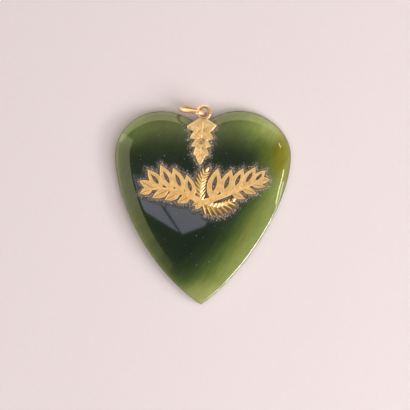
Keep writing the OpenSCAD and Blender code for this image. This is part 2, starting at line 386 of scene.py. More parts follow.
# %% [markdown]
# The outline of the heart
#
# Each side of the heart is two smooth curves: one from the cleft over the lobe to the widest
# place, and one from there down the flank to the tip. The numbers are the same as in the CAD
# source. The points are then spread evenly along the outline, so that the mesh is even too.

# %% Heart outline
CLEFT, TIP = np.array([-0.6, 18.3]), np.array([-0.45, -22.0])
HALF_WIDTH, WIDEST_Y = 19.9, 11.8
# side, cleft handle, cleft angle, lobe handle, flank handle, tip handle, tip angle
RIGHT_SIDE = (1, 11.8, 43, 7.8, 10.4, 13, 37)
LEFT_SIDE = (-1, 11.1, 42, 8.8, 9.8, 15.2, 34)
OUTLINE_POINTS = 384


def cubic(a, b, c, d, steps):
    """Points on a curve from a to d with handles at b and c."""
    t = np.linspace(0, 1, steps)[:, None]
    return (1 - t) ** 3 * a + 3 * (1 - t) ** 2 * t * b + 3 * (1 - t) * t**2 * c + t**3 * d


def bow(curve, t):
    """A point at share t of a curve with one handle."""
    return (1 - t) ** 2 * curve[0] + 2 * (1 - t) * t * curve[1] + t**2 * curve[2]


def ahead(length, angle, side=1):
    """A step of that length at an angle in degrees above the horizontal."""
    turn = math.radians(angle)
    return length * np.array([side * math.cos(turn), math.sin(turn)])


def heart_side(side, cleft_handle, cleft_angle, lobe_handle, flank_handle, tip_handle, tip_angle):
    """One side of the heart, from the cleft to the tip."""
    widest = np.array([side * HALF_WIDTH, WIDEST_Y])
    up, down = np.array([0, lobe_handle]), np.array([0, flank_handle])
    lobe = cubic(CLEFT, CLEFT + ahead(cleft_handle, cleft_angle, side), widest + up, widest, 200)
    flank = cubic(widest, widest - down, TIP + ahead(tip_handle, tip_angle, side), TIP, 200)
    return np.concatenate([lobe, flank[1:]])


def spread_evenly(points, count):
    """The same line with that many points at equal distances, its ends included."""
    steps = np.linalg.norm(np.diff(points, axis=0), axis=1)
    along = np.concatenate([[0], np.cumsum(steps)])
    wanted = np.linspace(0, along[-1], count)
    return np.stack([np.interp(wanted, along, points[:, k]) for k in (0, 1)], axis=1)


half = OUTLINE_POINTS // 2
right = spread_evenly(heart_side(*RIGHT_SIDE), half + 1)
left = spread_evenly(heart_side(*LEFT_SIDE), half + 1)
heart_line = np.concatenate([right[::-1], left[1:-1]])
print("outline points:", len(heart_line))
print("outline height in mm:", round(float(np.ptp(heart_line[:, 1])), 2))

# %% [markdown]
# The polished stone
#
# The stone is one carved piece: a flat back, an upright side, a wide rounded shoulder and a
# flat table. A lathe or a bevel can't follow a heart, so the mesh is a stack of outlines
# drawn in towards the middle. The height of each point then follows from how far it is from
# the edge, the way a grinder sees it. The table ends in a soft crease. Round the lobes the
# shoulder then grows steep in one arc. Down the flanks it stays flatter, and turns over
# quickly at the edge.

# %% Stone profile
BACK_ROUND, TABLE_SHARE = 0.3, 0.83
ARRIS_IN, ARRIS_HEIGHT = 0.1, 0.12
# arcs of the shoulder, from the table outwards: how far in each ends, and its slope there
LOBE_WIDTH, LOBE_ARCS = 3.6, [(3.3, 7), (0, 47)]
FLANK_WIDTH, FLANK_ARCS = 3.4, [(3.1, 7), (0.6, 22), (0, 38)]
LOBE_FROM, FLANK_FROM = 6.0, -4.0


def smooth_step(value, start, end):
    """A soft step from 0 at start to 1 at end."""
    t = np.clip((value - start) / (end - start), 0, 1)
    return t * t * (3 - 2 * t)


def arcs_drop(inset, width, arcs):
    """How far a shoulder of that width has dropped, over arcs that run into each other."""
    drop, start, first = 0, width, 0.0
    for end, slope in arcs:
        last = math.sin(math.radians(slope))
        radius = (start - end) / (last - first)
        lean = np.clip(first + (start - inset) / radius, first, last)
        drop = drop + radius * (math.sqrt(1 - first**2) - np.sqrt(1 - lean**2))
        start, first = end, last
    return drop


def shoulder_height(inset, y):
    """Height of the stone's face at a distance from its edge."""
    lobe = arcs_drop(inset, LOBE_WIDTH, LOBE_ARCS)
    flank = arcs_drop(inset, FLANK_WIDTH, FLANK_ARCS)
    return STONE_TOP - lobe - (flank - lobe) * smooth_step(y, LOBE_FROM, FLANK_FROM)


def face_height(inset, y):
    """The shoulder with its arris, the edge over the upright side, a little rounded."""
    corner = shoulder_height(0, y)
    t = np.sqrt(np.clip(inset / ARRIS_IN, 0, 1))
    arris = bow((corner - ARRIS_HEIGHT, corner, shoulder_height(ARRIS_IN, y)), t)
    return np.where(inset < ARRIS_IN, arris, shoulder_height(inset, y))


print("height of the arris at the lobe:", face_height(0, 11).round(2))
print("height of the arris at the flank:", face_height(0, -8).round(2))

# %% Stone mesh
SHRINK_TO = np.array([-0.4, 2.5])
BACK_STEPS, ARRIS_STEPS, SHOULDER_STEPS, TABLE_RINGS = 6, 4, 48, 46
CLOSE_RINGS_TO = 0.24
SOFT_PASSES, SIDE_ROUNDING = 60, 0.12
# the stone's pale margin of painted light runs along its flanks and round to here on the lobes
PALE_FROM = 14.5
# what stands for the distance to the rim where a point isn't on the face
OFF_FACE = 3.0
# towards the tip, the two shoulders run into each other softly
TIP_BLEND, TIP_BLEND_FROM, TIP_BLEND_TO = 2.5, -10.0, -4.0


def softened(line, passes):
    """The outline with its corners rounded by averaging each point with its neighbours."""
    for _ in range(passes):
        line = line / 2 + (np.roll(line, 1, axis=0) + np.roll(line, -1, axis=0)) / 4
    return line


def line_distance(points, start, end):
    """(distance from a straight line, share along it) of each point."""
    side = end - start
    share = np.clip((points - start) @ side / max(side @ side, 1e-12), 0, 1)
    return np.linalg.norm(points - start - share[:, None] * side, axis=1), share


def gap_to(points, line, closed=False):
    """Distance of each point to a line of many sides."""
    ends = np.roll(line, -1, axis=0) if closed else line[1:]
    return reduce(np.minimum, (line_distance(points, a, b)[0] for a, b in zip(line, ends)))


def ring_faces(n, last):
    """Faces that join each ring of n points to the next, up to ring number last."""
    faces = []
    for k in range(last):
        for i in range(n):
            j = (i + 1) % n
            faces.append((k * n + i, k * n + j, (k + 1) * n + j, (k + 1) * n + i))
    return faces


def store(piece, label, values):
    """Keeps a number with each point of a piece, for its finish to read."""
    layer = piece.data.attributes.new(label, "FLOAT", "POINT")
    layer.data.foreach_set("value", np.asarray(values, dtype=float))


def stone_mesh():
    """The closed stone, without the rivet hole. It keeps each point's distances to its edges."""
    soft_line = softened(heart_line, SOFT_PASSES)
    rim = heart_line * (1 - SIDE_ROUNDING) + soft_line * SIDE_ROUNDING
    right_rim, left_rim = rim[: half + 1], np.concatenate([rim[half:], rim[:1]])
    rings = []
    for angle in np.linspace(0, math.pi / 2, BACK_STEPS + 1):
        share = 1 - BACK_ROUND * (1 - math.sin(angle)) / HALF_WIDTH
        flat = SHRINK_TO + share * (rim - SHRINK_TO)
        height = BACK_ROUND * (1 - math.cos(angle))
        rings.append(np.column_stack([flat, np.full(len(flat), height)]))
    rings.append(np.column_stack([rim, np.zeros(len(rim))]))
    arris = ARRIS_IN / HALF_WIDTH * (np.arange(ARRIS_STEPS) / ARRIS_STEPS) ** 2
    shoulder = np.linspace(ARRIS_IN / HALF_WIDTH, CLOSE_RINGS_TO, SHOULDER_STEPS)
    table = (1 - CLOSE_RINGS_TO) * (1 - np.arange(1, TABLE_RINGS) / TABLE_RINGS)
    shares = np.concatenate([1 - arris, 1 - shoulder, table])
    for share in shares:
        softness = SIDE_ROUNDING + (1 - SIDE_ROUNDING) * min(1, (1 - share) / (1 - TABLE_SHARE))
        line = heart_line * (1 - softness) + soft_line * softness
        flat = SHRINK_TO + share * (line - SHRINK_TO)
        rings.append(np.column_stack([flat, np.full(len(flat), np.nan)]))
    points = np.concatenate([*rings, [[*SHRINK_TO, np.nan]]])
    to_right, to_left = gap_to(points[:, :2], right_rim), gap_to(points[:, :2], left_rim)
    nearest = np.minimum(to_right, to_left)
    blend = np.minimum(TIP_BLEND, nearest) * smooth_step(points[:, 1], TIP_BLEND_TO, TIP_BLEND_FROM)
    shared = np.clip(1 - abs(to_right - to_left) / np.maximum(blend, 1e-6), 0, 1)
    inset = nearest - shared**2 * blend / 4
    face = np.isnan(points[:, 2])
    points[face, 2] = face_height(inset[face], points[face, 1])
    n, last = OUTLINE_POINTS, len(rings) - 1
    side_top = slice((BACK_STEPS + 1) * n, (BACK_STEPS + 2) * n)
    points[side_top, 2] = points[(BACK_STEPS + 2) * n : (BACK_STEPS + 3) * n, 2] - ARRIS_HEIGHT
    faces = [tuple(range(n - 1, -1, -1)), *ring_faces(n, last)]
    faces += [(last * n + i, last * n + (i + 1) % n, len(points) - 1) for i in range(n)]
    piece = mesh_piece("heart_stone_polished", points, faces)
    store(piece, "rim_mm", np.where(face, nearest, OFF_FACE))
    for label, line in (("right_mm", right_rim), ("left_mm", left_rim)):
        thin = line[(line[:, 1] < WIDEST_Y) | (abs(line[:, 0]) > PALE_FROM)]
        store(piece, label, gap_to(points[:, :2], thin))
    return piece


stone = stone_mesh()
print("stone faces:", len(stone.data.polygons))

# %% [markdown]
# The rivet and its hole
#
# The leaf is held by a pin that goes right through the stone. The hole is cut with a Boolean
# modifier from a turned shape: a narrow bore that widens to a cone at the back. The pin is
# turned from a profile too, so one helper makes both. Its head is a low dome with the marks
# of the hammer on it.

# %% Rivet
LEAF_NECK, LEAF_TURN = np.array([0, 19.75]), math.radians(-4.4)
LEAF_DOWN = np.array([math.sin(LEAF_TURN), -math.cos(LEAF_TURN)])
LEAF_ACROSS = np.array([math.cos(LEAF_TURN), math.sin(LEAF_TURN)])
SEAT_Z = 4.02


def on_leaf(along, out):
    """A place on the leaf: its distance from the neck, and out from the midrib."""
    return LEAF_NECK + along * LEAF_DOWN + out * LEAF_ACROSS


RIVET_XY = on_leaf(4.8, 0)
RIVET_R, RIVET_GAP, FOOT_R, FOOT_HEIGHT = 0.6, 0.05, 1.1, 0.6
LEAF_THICK, CROWN = 0.5, 0.14


def turned(name, profile, centre, steps=64):
    """A closed shape turned round a vertical line. profile runs (radius, height) upwards."""
    points = []
    for radius, height in profile:
        for angle in 2 * math.pi * np.arange(steps) / steps:
            x, y = radius * math.cos(angle), radius * math.sin(angle)
            points.append((centre[0] + x, centre[1] + y, height))
    last = len(profile) - 1
    foot, top = tuple(range(steps - 1, -1, -1)), tuple(range(last * steps, (last + 1) * steps))
    return mesh_piece(name, points, [*ring_faces(steps, last), foot, top])


def plain_copy(piece):
    """Applies a piece's modifiers: its mesh becomes the evaluated one."""
    depsgraph = bpy.context.evaluated_depsgraph_get()
    mesh = bpy.data.meshes.new_from_object(piece.evaluated_get(depsgraph))
    piece.modifiers.clear()
    old, piece.data = piece.data, mesh
    bpy.data.meshes.remove(old)
    mesh.name = piece.name


bore = RIVET_R + RIVET_GAP
cone = FOOT_R + RIVET_GAP
hole_profile = [(cone, -1), (cone, 0), (bore, FOOT_HEIGHT), (bore, STONE_TOP + 1)]
cutter = turned("hole_cutter", hole_profile, RIVET_XY)
cut = stone.modifiers.new("rivet_hole", "BOOLEAN")
cut.operation, cut.solver, cut.object = "DIFFERENCE", "EXACT", cutter
plain_copy(stone)
bpy.data.objects.remove(cutter)
# the back is ground flat, so it mustn't borrow its shading from the rounded rim or the hole
for polygon in stone.data.polygons:
    if polygon.normal.z < -0.999:
        polygon.use_smooth = False
print("stone faces with the hole:", len(stone.data.polygons))

head_z = SEAT_Z + LEAF_THICK
HEAD_STEPS, HEAD_TURN = 7, math.radians(86)
pin = [(FOOT_R, 0), (RIVET_R, FOOT_HEIGHT), (RIVET_R, head_z - 0.05)]
for angle in np.linspace(0, HEAD_TURN, HEAD_STEPS):
    pin.append((RIVET_R * math.cos(angle), head_z + CROWN * math.sin(angle)))
rivet = turned("leaf_rivet_head", pin, RIVET_XY)
rivet.data.set_sharp_from_angle(angle=math.radians(35))

# %% [markdown]
# Chased gold sheet
#
# The leaf and the spray are cut from sheet gold. A goldsmith saws the outline, files its
# upper edge round, and then works the face with punches, so that each leaf stands over the
# next and veins sink in. A Bevel modifier fails on such narrow points, so the sheet is
# filled with small triangles instead, and every point of its face is set to a height that
# follows from how far it is from each edge. The distance to the nearest edge is kept with
# the mesh, because the polished edges get a smoother finish than the satin faces, with a
# painted highlight along them.

# %% Filling an outline
def inside(points, loops):
    """Which points lie inside the closed loops, counting holes as outside."""
    found = np.zeros(len(points), bool)
    for loop in loops:
        a, b = loop, np.roll(loop, -1, axis=0)
        for (ax, ay), (bx, by) in zip(a, b):
            if ay != by:
                crosses = (ay > points[:, 1]) != (by > points[:, 1])
                at = ax + (points[:, 1] - ay) / (by - ay) * (bx - ax)
                found ^= crosses & (points[:, 0] < at)
    return found


def edge_distance(points, loops):
    """Distance of each point to the nearest edge of the loops."""
    return reduce(np.minimum, (gap_to(points, loop, closed=True) for loop in loops))


def divided(loop, longest):
    """The loop with its long sides divided."""
    points = []
    for a, b in zip(loop, np.roll(loop, -1, axis=0)):
        count = max(1, math.ceil(np.linalg.norm(b - a) / longest))
        points += [a + (b - a) * k / count for k in range(count)]
    return np.array(points)


# rows of points are this share of their spacing apart, so that the triangles are even
ROW_STEP = 0.866


def fill(loops, spacing, insets):
    """Points and triangles that fill the loops, with rows of points along the edges."""
    lines = [divided(loop, spacing) for loop in loops]
    rows = []
    for line in lines:
        along = np.roll(line, -1, axis=0) - np.roll(line, 1, axis=0)
        along /= np.linalg.norm(along, axis=1)[:, None] + 1e-12
        across = np.column_stack([-along[:, 1], along[:, 0]])
        for inset in insets:
            for side in (-1, 1):
                row = line + side * inset * across
                kept = inside(row, loops) & (edge_distance(row, loops) > 0.9 * inset)
                rows.append(row[kept])
    low, high = np.concatenate(lines).min(axis=0), np.concatenate(lines).max(axis=0)
    columns = np.arange(low[0], high[0], spacing)
    x, y = np.meshgrid(columns, np.arange(low[1], high[1], spacing * ROW_STEP))
    x[1::2] += spacing / 2
    grid = np.column_stack([x.ravel(), y.ravel()])
    grid = grid[inside(grid, loops)]
    grid = grid[edge_distance(grid, loops) > insets[-1] + 0.55 * spacing]
    points, edges = [], []
    for line in lines:
        first = len(points)
        points += line.tolist()
        edges += [(first + i, first + (i + 1) % len(line)) for i in range(len(line))]
    points += np.concatenate([*rows, grid]).tolist()
    found = geometry.delaunay_2d_cdt(points, edges, [], 1, 1e-5)
    flat = np.array([list(p) for p in found[0]])
    triangles = np.array([list(f) for f in found[2]])
    middles = flat[triangles].mean(axis=1)
    return flat, triangles[inside(middles, loops)]


def sheet_piece(name, loops, bottom, heights, spacing=0.11, insets=(0.03, 0.07)):
    """A closed sheet with a worked face. heights gives z, edge distance and hollow."""
    flat, triangles = fill(loops, spacing, insets)
    z, edge, hollow = heights(flat, edge_distance(flat, loops))
    sides = np.concatenate([triangles[:, [0, 1]], triangles[:, [1, 2]], triangles[:, [2, 0]]])
    known = {tuple(s) for s in sides.tolist()}
    rim = [s for s in known if (s[1], s[0]) not in known]
    below = {v: len(flat) + k for k, v in enumerate(sorted({s[0] for s in rim}))}
    lower = np.array([[*flat[v], bottom] for v in below])
    base = [flat[v].tolist() for v in below]
    order = {v: k for k, v in enumerate(below)}
    floor_edges = [(order[a], order[b]) for a, b in rim]
    under = geometry.delaunay_2d_cdt(base, floor_edges, [], 1, 1e-6)
    floor_faces = np.array([list(f) for f in under[2]])
    floor_faces = floor_faces[inside(np.array(base)[floor_faces].mean(axis=1), loops)]
    points = np.concatenate([np.column_stack([flat, z]), lower])
    faces = [tuple(t) for t in triangles.tolist()]
    faces += [(b, a, below[a], below[b]) for a, b in rim]
    faces += [tuple(len(flat) + v for v in f[::-1]) for f in floor_faces.tolist()]
    piece = mesh_piece(name, points, faces)
    for label, values, low in (("edge_mm", edge, 0.3), ("hollow", hollow, 1.0)):
        store(piece, label, np.concatenate([values, np.full(len(lower), low)]))
    piece.data.set_sharp_from_angle(angle=math.radians(50))
    print(name, "faces:", len(faces))
    return piece


def rounded_edge(inwards, radius):
    """How far a filed edge lies below the face, at a distance in from the edge."""
    share = 1 - np.clip(inwards / radius, 0, 1)
    return radius * (1 - np.sqrt(1 - share**2))


# %% [markdown]
# The leaf bail
#
# The leaf hangs from its neck and ends in a point, with four pairs of lobes. Down its middle
# runs a raised midrib, and a vein is cut from the midrib into each lobe. The face swells
# between the veins, and short fine cuts shade it beside them. The round eye is a ring of wire
# soldered on its upper end.

# %% Leaf
# right along, right out, left along, left out, bow
LEAF_EDGE = [
    (-0.35, 0.9, -0.35, 0.9, 0.1),
    (0.95, 3.1, 1.6, 3.5, 0.05),
    (1.55, 2.8, 2.25, 3.25, 0.05),
    (2.7, 1.75, 2.7, 1.9, 0.3),
    (4, 2.6, 4.4, 2.65, 0.1),
    (4.6, 1.35, 4.5, 1.4, 0.25),
    (5.8, 2.2, 6.1, 2.25, 0.08),
    (6.2, 1.25, 6.25, 1.25, 0.25),
    (7.8, 1.85, 8, 1.6, 0.05),
    (8.1, 1.1, 8.1, 1.1, 0.25),
    (10.2, 0, 10.2, 0, 0),
]
LEAF_LENGTH, BOW_STEPS = LEAF_EDGE[-1][0], 5


def leaf_side(column, sign):
    """One edge of the leaf, from the neck to just before the tip."""
    line = []
    for row, after in zip(LEAF_EDGE, LEAF_EDGE[1:]):
        a, c = np.array(row[column : column + 2]), np.array(after[column : column + 2])
        b = (a + c) / 2 + np.array([0, row[4]])
        for t in np.arange(BOW_STEPS) / BOW_STEPS:
            along, out = bow((a, b, c), t)
            line.append(on_leaf(along, sign * out))
    return line


# where a vein leaves the midrib, where it ends along the leaf, how far out it ends
LEAF_VEINS = [(2.0, 4.0, 2.2), (4.3, 5.7, 1.8), (6.0, 7.7, 1.4), (7.7, 8.7, 0.7)]
VEIN_DEPTH, VEIN_HALF = 0.09, 0.09
# how far the face swells between the veins, and how far from a vein
SWELL, SWELL_OVER = 0.13, 0.32
# the fine cuts beside the veins: distance between them, half width and depth
HATCH_GAP, HATCH_HALF, HATCH_DEPTH = 0.44, 0.075, 0.03
# how high the midrib stands, its half width at the neck, and how much it narrows
RIB_RISE, RIB_HALF, RIB_TAPER = 0.2, 0.19, 0.08


def leaf_heights(points, edge):
    """The worked face of the leaf."""
    midrib, share = line_distance(points, on_leaf(0.3, 0), on_leaf(LEAF_LENGTH - 0.6, 0))
    top = SEAT_Z + LEAF_THICK
    z = top - rounded_edge(edge, 0.07) - 0.03 * np.clip(midrib / 2, 0, 1)
    hollow = np.zeros(len(points))
    from_vein = midrib.copy()
    for start, along, out in LEAF_VEINS:
        for side in (-1, 1):
            away, part = line_distance(points, on_leaf(start, 0), on_leaf(along, side * out))
            groove = np.exp(-((away / VEIN_HALF) ** 2)) * (1 - 0.6 * part)
            z -= VEIN_DEPTH * groove
            hollow = np.maximum(hollow, groove)
            from_vein = np.minimum(from_vein, away)
    z += SWELL * (1 - np.exp(-((from_vein / SWELL_OVER) ** 2))) * np.clip(edge / 0.3, 0, 1)
    from_neck = points - LEAF_NECK
    row = (from_neck @ LEAF_DOWN - 0.9 * abs(from_neck @ LEAF_ACROSS)) / HATCH_GAP
    cut = np.exp(-((abs(row % 1 - 0.5) * HATCH_GAP * 0.74 / HATCH_HALF) ** 2))
    cut = cut * (edge > 0.16) * (midrib > 0.3)
    z -= HATCH_DEPTH * cut
    hollow = np.maximum(hollow, 0.5 * cut)
    half_rib = RIB_HALF - RIB_TAPER * share
    rib = np.sqrt(np.clip(1 - (midrib / half_rib) ** 2, 0, 1))
    z = np.maximum(z, (top + RIB_RISE * (1 - 0.5 * share)) * rib + z * (1 - rib))
    beside = np.exp(-(((midrib - half_rib - 0.04) / 0.06) ** 2))
    hollow = np.maximum(hollow * (midrib > half_rib), 0.5 * beside)
    # the midrib's top gets a filed edge's distance, so the gold finish paints its highlight there
    edge = np.where(midrib < half_rib * 0.8, 0.03, edge)
    to_rivet = np.linalg.norm(points - RIVET_XY, axis=1) - RIVET_R
    hollow = np.maximum(hollow, np.exp(-((to_rivet / 0.16) ** 2)))
    return z, edge, hollow


HOLE_STEPS = 48
round_hole = np.linspace(0, 2 * math.pi, HOLE_STEPS + 1)[:-1]
hole = RIVET_XY + bore * np.column_stack([np.cos(round_hole), np.sin(round_hole)])
leaf_loop = np.array([*leaf_side(0, 1), on_leaf(LEAF_LENGTH, 0), *leaf_side(2, -1)[::-1]])
leaf = sheet_piece("leaf_bail_chased", [leaf_loop, hole], SEAT_Z, leaf_heights, spacing=0.065)

# %% [markdown]
# The spray
#
# The spray lies flat on the stone. Two branches leave its middle, with larger leaves above
# their stems and smaller ones below, and the larger leaves are cut through with slits. Its
# outline is read from the CAD piece, so that it can't miss it: the upper face's open edges
# are joined into loops. The face is then worked leaf by leaf, and where two leaves cross,
# the higher one wins, which is what a punch round a leaf does.

# %% Outline of the spray
def top_loops(node):
    """The closed edges of a CAD piece's upper face, in mm, from a merged copy."""
    work = bmesh.new()
    work.from_mesh(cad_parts[node].data)
    bmesh.ops.remove_doubles(work, verts=work.verts, dist=1e-6)
    work.normal_update()
    onward = {}
    for face in work.faces:
        if face.normal.z > 0.9:
            for loop in face.loops:
                mates = [f for f in loop.edge.link_faces if f != face]
                if not any(f.normal.z > 0.9 for f in mates):
                    onward[loop.vert.index] = loop.link_loop_next.vert.index
    work.verts.ensure_lookup_table()
    loops = []
    while onward:
        start = next(iter(onward))
        line, at = [], start
        while at in onward:
            line.append([work.verts[at].co.x / MM, work.verts[at].co.y / MM])
            at = onward.pop(at)
        loops.append(np.array(line))
    work.free()
    return loops


spray_loops = top_loops("spray_plate")
print("spray edges:", len(spray_loops), "of which slits:", len(spray_loops) - 1)

# %% Leaves of the spray
# stem curves: start, middle handle, end
LEFT_STEM = np.array([(-0.4, 1.1), (-5.5, 4.6), (-11.4, 4.2)])
RIGHT_STEM = np.array([(-0.4, 1.1), (5.8, 2.9), (12.4, 6)])
UPRIGHT_RIB = np.array([(-0.35, 1.2), (-1.2, 5.4), (0.7, 8.2)])
LYING_RIB = np.array([(-0.4, 1.1), (3.2, -1.2), (6.7, 1.6)])
# place on the stem, turn, length, width, 1 where it is slit
LEFT_LEAVES = [
    (0.18, 106, 5.4, 2.6, 1),
    (0.39, 111, 6.2, 2.8, 1),
    (0.6, 116, 6.4, 2.8, 1),
    (0.8, 128, 5.6, 2.6, 1),
    (0.95, 152, 4, 2, 0),
    (1, 198, 3, 1.7, 0),
    (0.24, 206, 3.3, 1.8, 0),
    (0.45, 206, 3.9, 2, 0),
    (0.68, 206, 4.2, 2, 0),
    (0, 193, 2.2, 1.1, 0),
    (0, 226, 2.1, 1.1, 0),
]
RIGHT_LEAVES = [
    (0.17, 77, 7.4, 3.2, 1),
    (0.37, 70, 6.4, 2.9, 1),
    (0.55, 65, 6, 2.7, 1),
    (0.73, 58, 5.6, 2.5, 1),
    (0.89, 45, 4.4, 2.1, 1),
    (1, 8, 2.7, 1.5, 0),
    (0.54, -26, 3.3, 1.6, 0),
    (0.72, -19, 3.4, 1.6, 0),
    (0.88, -9, 3.2, 1.4, 0),
]
SPRAY_TOP = SEAT_Z + 0.6


def leaf_half_width(t):
    """Half the width of a pointed leaf of width 1 at share t of its length."""
    return 2 * t * (1 - t) * (1.25 - 0.5 * t)


def spray_heights(points, edge):
    """The worked face of the spray."""
    z = np.full(len(points), SPRAY_TOP - 0.22)
    own_edge, hollow = np.full(len(points), 0.4), np.full(len(points), 0.9)

    def raise_to(level, inwards, dark):
        higher = (level > z) & (inwards > 0)
        z[higher], own_edge[higher], hollow[higher] = level[higher], inwards[higher], dark[higher]

    for stem, leaves in ((LEFT_STEM, LEFT_LEAVES), (RIGHT_STEM, RIGHT_LEAVES)):
        for k, (where, turn, length, width, slit) in enumerate(leaves):
            local = points - bow(stem, where)
            c, s = math.cos(math.radians(turn)), math.sin(math.radians(turn))
            u = (local[:, 0] * c + local[:, 1] * s) / length
            v = -local[:, 0] * s + local[:, 1] * c
            inwards = np.where((u > 0) & (u < 1), width * leaf_half_width(u) - abs(v), -1)
            vein = np.exp(-((v / 0.08) ** 2)) * (u > 0.08) * (u < 0.9) * (1 - slit)
            wave = abs(((abs(v) * 0.9 - u * length) / 0.8 + 0.5) % 1 - 0.5) * 0.8
            ribs = 0.5 * np.exp(-((wave / 0.06) ** 2)) * (u > 0.12) * (u < 0.8) * (inwards > 0.12)
            cut_in = np.maximum(vein, ribs)
            level = SPRAY_TOP - 0.02 - 0.03 * (k % 3) - rounded_edge(inwards, 0.14)
            raise_to(level - 0.045 * cut_in, inwards, cut_in)
        steps = [bow(stem, t) for t in np.linspace(0, 1, 25)]
        for k, (a, b) in enumerate(zip(steps, steps[1:])):
            away, _ = line_distance(points, a, b)
            inwards = 0.45 * (1.6 - k / 24) - away
            raise_to(SPRAY_TOP - rounded_edge(inwards, 0.3), inwards, np.zeros(len(points)))
    return np.minimum(z, SPRAY_TOP - rounded_edge(edge, 0.1)), np.minimum(edge, own_edge), hollow


spray = sheet_piece("spray_plate_pierced", spray_loops, SEAT_Z, spray_heights)

# %% [markdown]
# Fern fronds
#
# Between the branches stand two ferns, one upright and one lying. A frond is a rib with the
# same small leaflet set again and again on both sides, so Geometry Nodes suits it: a curve
# gives the rib, every tenth point of it carries a leaflet on each side, and one formula
# makes them smaller towards the ends. The leaflet itself is a small closed ridge, because a
# graver leaves two bright slopes that meet along its middle.

# %% Leaflet
def leaflet_half_width(t):
    """Half the width of a fern's leaflet of width 1 at share t of its length."""
    return (1 - t) ** 0.6 * (0.42 + 0.25 * t)


def leaflet_mesh():
    """A ridge of length, width and height 1 along +X, as two bright cuts leave it."""
    along = np.array([0, 0.12, 0.3, 0.5, 0.7, 0.86, 0.96])
    across = np.array([-1, -0.72, -0.3, 0, 0.3, 0.72, 1])
    points, faces = [], []
    for t in along:
        for s in across:
            lift = (1 - abs(s) ** 1.3) * (0.6 + 0.4 * (1 - t) ** 0.5)
            points.append((t, s * leaflet_half_width(t), lift))
    n = len(across)
    for k in range(len(along) - 1):
        for i in range(n - 1):
            faces.append((k * n + i, (k + 1) * n + i, (k + 1) * n + i + 1, k * n + i + 1))
    tip = len(points)
    points.append((1, 0, 0))
    last = (len(along) - 1) * n
    faces += [(last + i, tip, last + i + 1) for i in range(n - 1)]
    faces.append(tuple(range(n)))
    left_edge = [k * n + n - 1 for k in range(len(along))]
    right_edge = [k * n for k in range(len(along))]
    faces.append((*left_edge, tip, *right_edge[::-1]))
    mesh = bpy.data.meshes.new("leaflet")
    mesh.from_pydata(points, [], faces)
    work = bmesh.new()
    work.from_mesh(mesh)
    bmesh.ops.recalc_face_normals(work, faces=work.faces)
    for face in work.faces:
        face.smooth = len(face.verts) <= 4
    work.to_mesh(mesh)
    work.free()
    return mesh


leaflet = bpy.data.objects.new("leaflet", leaflet_mesh())
print("leaflet faces:", len(leaflet.data.polygons))

# %% Gold finishes
GOLD_GLEAM, GOLD_DARK = (1.0, 0.82, 0.52), (0.24, 0.105, 0.035)
# a satin face scatters part of the light evenly, as a matt one does
SATIN_METAL, POLISHED_METAL = 0.85, 0.94
METAL_IOR = 1.5
FINE_BUMP = 0.03


def gold_finish(name, satin, dent_depth, tones):
    """Worn yellow gold: satin of two tones, a painted highlight on filed edges, brown in hollows.
    """
    gold = Finish(name, Metallic=SATIN_METAL, IOR=METAL_IOR)
    clouds = gold.noise(950.0, detail=4.0, roughness=0.6)
    stretch = {"Vector": gold.place, "Rotation": (0, 0, 0.6), "Scale": (1, 0.12, 1)}
    scratches = gold.noise(5200.0, detail=2.0, at=gold.add("ShaderNodeMapping", None, stretch))
    grain = gold.noise(10400.0, detail=2.0)
    polished = gold.kept("edge_mm").rise(0.28, 0.1)
    colour = gold.mix(clouds.rise(0.35, 0.65), *tones)
    # painted highlight: the filed edges and the leaf's midrib top are mixed towards a paler gold
    colour = gold.mix(polished * 0.5, colour, GOLD_GLEAM)
    colour = gold.mix(gold.kept("hollow").rise(0.1, 1.0) * 0.88, colour, GOLD_DARK)
    rough = satin + (scratches - 0.5) * 0.25 + (grain - 0.5) * 0.2 - polished * 0.14
    bump = gold.bump(0.25, FINE_BUMP, scratches * 0.5 + grain * 0.5)
    bump = gold.bump(0.7, dent_depth, gold.noise(1900.0, detail=1.0), Normal=bump)
    return gold.feed(Base_Color=colour, Roughness=rough.clamp(), Normal=bump)


def frond_finish():
    """Bright cut gold: polished leaflet tops, and painted brown shade deep between them."""
    gold = Finish("bright_cut_gold", Metallic=POLISHED_METAL, IOR=METAL_IOR)
    wear = gold.noise(3600.0)
    height = gold.parts(gold.place)[2] / MM
    # painted shade: the lower a point lies between the leaflets, the browner it is
    deep = (height + (wear - 0.5) * 0.08).rise(SPRAY_TOP - 0.08, SPRAY_TOP - 0.24)
    colour = gold.mix(wear.rise(0.35, 0.65), (0.95, 0.57, 0.26), (1.0, 0.80, 0.50))
    colour = gold.mix(deep * 0.75, colour, GOLD_DARK)
    rough = 0.3 + (wear - 0.5) * 0.24 + deep * 0.2
    bump = gold.bump(0.3, FINE_BUMP, wear)
    return gold.feed(Base_Color=colour, Roughness=rough.clamp(), Normal=bump)


def wire_gold_finish():
    """Polished gold wire with fine wear, and tarnish and painted shade on the rings' inner side."""
    gold = Finish("wire_gold", Metallic=POLISHED_METAL, IOR=METAL_IOR)
    clouds, wear = gold.noise(700.0), gold.noise(5200.0, detail=2.0)
    inner = (gold.kept("inner") + (wear - 0.5) * 0.4).rise(0.1, 0.9)
    colour = gold.mix(clouds.rise(0.35, 0.7), (0.96, 0.63, 0.40), (1.0, 0.74, 0.53))
    colour = gold.mix(wear.rise(0.6, 0.8) * 0.25, colour, (0.7, 0.36, 0.16))
    # tarnish and painted shade: the inner side of each ring turns brown
    colour = gold.mix(inner * 0.8, colour, (0.22, 0.10, 0.035))
    rough = 0.4 + (clouds - 0.5) * 0.15 + (wear - 0.5) * 0.12
    bump = gold.bump(0.2, FINE_BUMP, wear)
    return gold.feed(Base_Color=colour, Roughness=rough.clamp(), Normal=bump)


